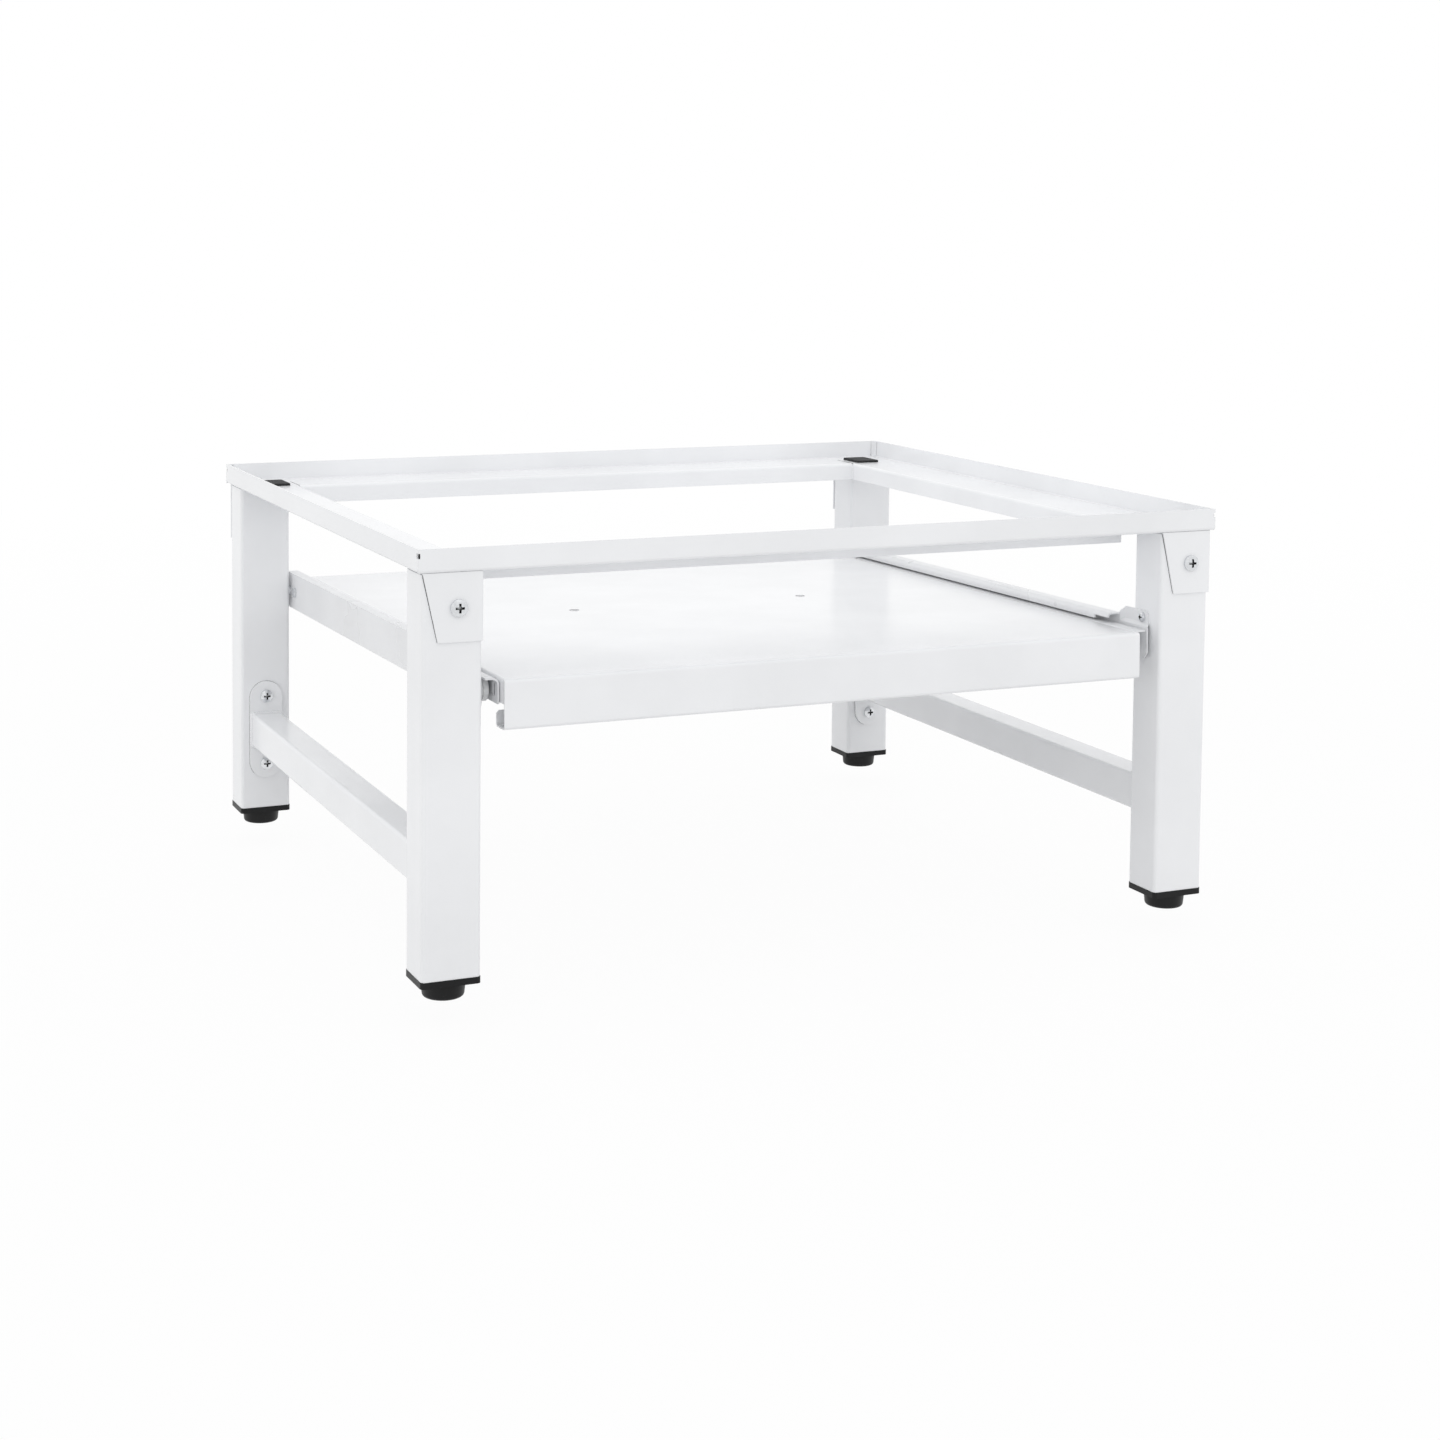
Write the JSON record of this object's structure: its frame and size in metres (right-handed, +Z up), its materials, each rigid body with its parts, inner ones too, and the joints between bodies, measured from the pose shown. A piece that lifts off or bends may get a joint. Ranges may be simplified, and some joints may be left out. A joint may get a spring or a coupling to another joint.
{
  "type": "washing machine pedestal",
  "caption": "Powder-coated steel stand that lifts a washing machine or dryer, with a lipped top frame on tube legs, screw-adjusted feet and a shelf that pulls out on roller runners.",
  "frame": {"origin": "on the floor, under the middle of the top frame, with the feet screwed right in", "axes": "+X to the right along the front, +Y to the back, +Z up; the shelf pulls out along -Y"},
  "size_m": [0.63, 0.544, 0.307],
  "materials": {
    "powder_coat": "smooth white powder coat on folded sheet and tube, half gloss",
    "runner_coat": "white epoxy coat on rolled steel runner",
    "zinc": "bright zinc plating",
    "rubber": "matt",
    "black_plastic": "moulded, fine satin",
    "nylon": "moulded nylon"
  },
  "bodies": {
    "frame": {"front_rail": "powder_coat", "back_rail": "powder_coat", "left_rail": "powder_coat", "right_rail": "powder_coat", "leg_front_left": "powder_coat", "leg_front_right": "powder_coat", "leg_back_left": "powder_coat", "leg_back_right": "powder_coat", "tab_front_left": "powder_coat", "tab_front_right": "powder_coat", "tab_back_left": "powder_coat", "tab_back_right": "powder_coat", "bar_left": "powder_coat", "bar_right": "powder_coat", "plate_front_left": "powder_coat", "plate_front_right": "powder_coat", "plate_back_left": "powder_coat", "plate_back_right": "powder_coat", "pad_front_left": "rubber", "pad_front_right": "rubber", "pad_back_left": "rubber", "pad_back_right": "rubber", "cap_front_left": "black_plastic", "cap_front_right": "black_plastic", "cap_back_left": "black_plastic", "cap_back_right": "black_plastic", "runner_left": "runner_coat", "runner_right": "runner_coat", "tab_screws": "zinc", "tab_nuts": "zinc", "cap_nuts": "zinc", "plate_screws": "zinc", "plate_nuts": "zinc", "runner_screws": "zinc", "runner_nuts": "zinc", "runner_spacers": "zinc", "stop_pins": "zinc", "front_pins": "zinc"},
    "drawer": {"shelf": "powder_coat", "arm_left": "runner_coat", "arm_right": "runner_coat", "shelf_rivets": "zinc", "back_pins": "zinc"},
    "front_roller_left": {"front_roller_left": "nylon"},
    "back_roller_left": {"back_roller_left": "nylon"},
    "front_roller_right": {"front_roller_right": "nylon"},
    "back_roller_right": {"back_roller_right": "nylon"},
    "foot_front_left": {"foot_front_left": "black_plastic"},
    "stud_front_left": {"stud_front_left": "zinc"},
    "foot_front_right": {"foot_front_right": "black_plastic"},
    "stud_front_right": {"stud_front_right": "zinc"},
    "foot_back_left": {"foot_back_left": "black_plastic"},
    "stud_back_left": {"stud_back_left": "zinc"},
    "foot_back_right": {"foot_back_right": "black_plastic"},
    "stud_back_right": {"stud_back_right": "zinc"}
  },
  "joints": [
    {"name": "shelf_slide", "type": "slide", "parent": "frame", "child": "drawer", "axis": [0, -0.9999, 0.0157], "range_m": [0, 0.386]},
    {"name": "front_roller_left_turn", "type": "hinge", "parent": "frame", "child": "front_roller_left", "pos_m": [-0.2608, -0.23816, 0.20508], "axis": [1, 0, 0], "continuous": true},
    {"name": "back_roller_left_turn", "type": "hinge", "parent": "drawer", "child": "back_roller_left", "pos_m": [-0.2608, 0.20687, 0.20059], "axis": [1, 0, 0], "continuous": true},
    {"name": "front_roller_right_turn", "type": "hinge", "parent": "frame", "child": "front_roller_right", "pos_m": [0.2608, -0.23816, 0.20508], "axis": [1, 0, 0], "continuous": true},
    {"name": "back_roller_right_turn", "type": "hinge", "parent": "drawer", "child": "back_roller_right", "pos_m": [0.2608, 0.20687, 0.20059], "axis": [1, 0, 0], "continuous": true},
    {"name": "foot_front_left_height", "type": "slide", "parent": "frame", "child": "foot_front_left", "axis": [0, 0, -1], "range_m": [0, 0.015]},
    {"name": "foot_front_left_screw", "type": "hinge", "parent": "foot_front_left", "child": "stud_front_left", "pos_m": [-0.2905, -0.2495, 0.02], "axis": [0, 0, -1], "range_deg": [0, 4321]},
    {"name": "foot_front_right_height", "type": "slide", "parent": "frame", "child": "foot_front_right", "axis": [0, 0, -1], "range_m": [0, 0.015]},
    {"name": "foot_front_right_screw", "type": "hinge", "parent": "foot_front_right", "child": "stud_front_right", "pos_m": [0.2905, -0.2495, 0.02], "axis": [0, 0, -1], "range_deg": [0, 4321]},
    {"name": "foot_back_left_height", "type": "slide", "parent": "frame", "child": "foot_back_left", "axis": [0, 0, -1], "range_m": [0, 0.015]},
    {"name": "foot_back_left_screw", "type": "hinge", "parent": "foot_back_left", "child": "stud_back_left", "pos_m": [-0.2905, 0.2495, 0.02], "axis": [0, 0, -1], "range_deg": [0, 4321]},
    {"name": "foot_back_right_height", "type": "slide", "parent": "frame", "child": "foot_back_right", "axis": [0, 0, -1], "range_m": [0, 0.015]},
    {"name": "foot_back_right_screw", "type": "hinge", "parent": "foot_back_right", "child": "stud_back_right", "pos_m": [0.2905, 0.2495, 0.02], "axis": [0, 0, -1], "range_deg": [0, 4321]}
  ],
  "couplings": [
    {"joint": "front_roller_left_turn", "follows": "shelf_slide", "rad_per_m": 117.65},
    {"joint": "back_roller_left_turn", "follows": "shelf_slide", "rad_per_m": 76.923},
    {"joint": "front_roller_right_turn", "follows": "shelf_slide", "rad_per_m": 117.65},
    {"joint": "back_roller_right_turn", "follows": "shelf_slide", "rad_per_m": 76.923},
    {"joint": "foot_front_left_screw", "follows": "foot_front_left_height", "rad_per_m": 5026.5},
    {"joint": "foot_front_right_screw", "follows": "foot_front_right_height", "rad_per_m": 5026.5},
    {"joint": "foot_back_left_screw", "follows": "foot_back_left_height", "rad_per_m": 5026.5},
    {"joint": "foot_back_right_screw", "follows": "foot_back_right_height", "rad_per_m": 5026.5}
  ]
}
